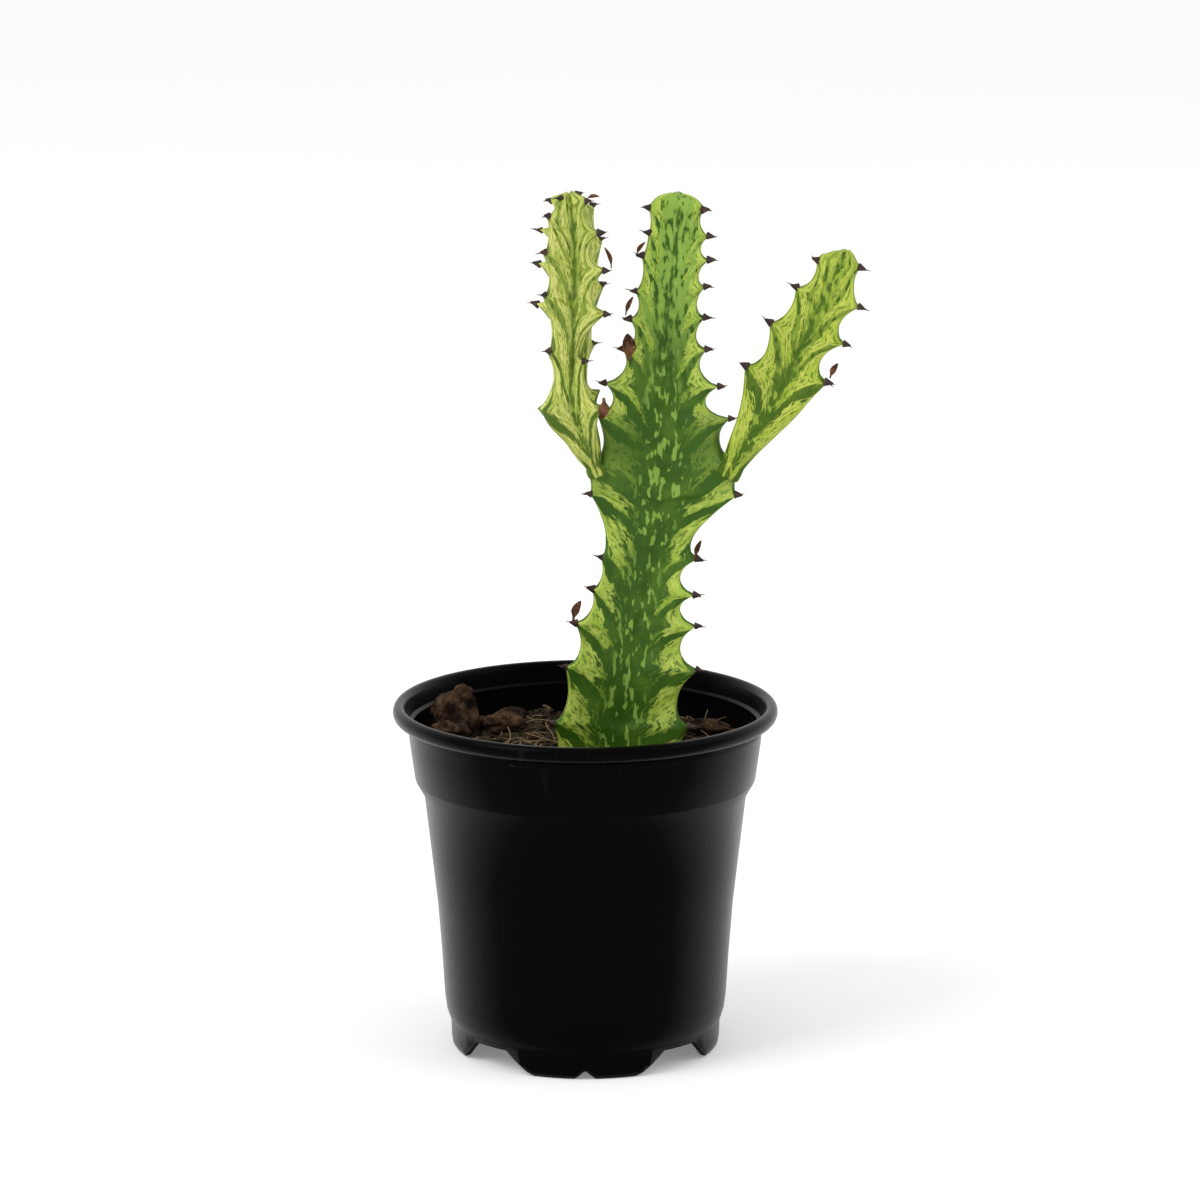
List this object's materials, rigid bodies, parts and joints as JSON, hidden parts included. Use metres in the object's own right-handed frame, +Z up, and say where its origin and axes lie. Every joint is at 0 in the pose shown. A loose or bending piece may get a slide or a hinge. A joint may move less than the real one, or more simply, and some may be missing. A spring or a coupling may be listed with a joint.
{
  "type": "potted euphorbia",
  "caption": "Young ribbed euphorbia with a toothed main stem and two side branches, rooted in potting mix in a round tapered nursery pot with a lipped rim and notched foot.",
  "frame": {"origin": "centre of the whole plant's footprint, on the floor that the pot's feet stand on", "axes": "+Z up along the pot's axis, -Y towards the broad face of the main stem, +X towards the leaning right branch"},
  "size_m": [0.1467, 0.12, 0.2737],
  "materials": {
    "black_plastic": "moulded black polypropylene, semi-gloss, lightly scuffed",
    "potting_mix": "damp peat and coir, matt",
    "stem_green": "waxy dark green skin marbled with yellow green",
    "branch_green": "waxy yellow-green skin streaked with dark green",
    "bark": "rough dry bark, matt",
    "dried_leaf": "withered leaf, papery, matt"
  },
  "bodies": {
    "root": {"pot": "black_plastic", "potting_mix": "potting_mix", "main_stem": "stem_green", "left_branch": "branch_green", "right_branch": "branch_green", "bark_chip_1": "bark", "bark_chip_2": "bark", "bark_chip_3": "bark", "bark_chip_4": "bark", "dried_leaf_1": "dried_leaf", "dried_leaf_2": "dried_leaf", "dried_leaf_3": "dried_leaf", "dried_leaf_4": "dried_leaf", "dried_leaf_5": "dried_leaf", "dried_leaf_6": "dried_leaf", "dried_leaf_7": "dried_leaf", "dried_leaf_8": "dried_leaf", "dried_leaf_9": "dried_leaf"}
  },
  "joints": []
}
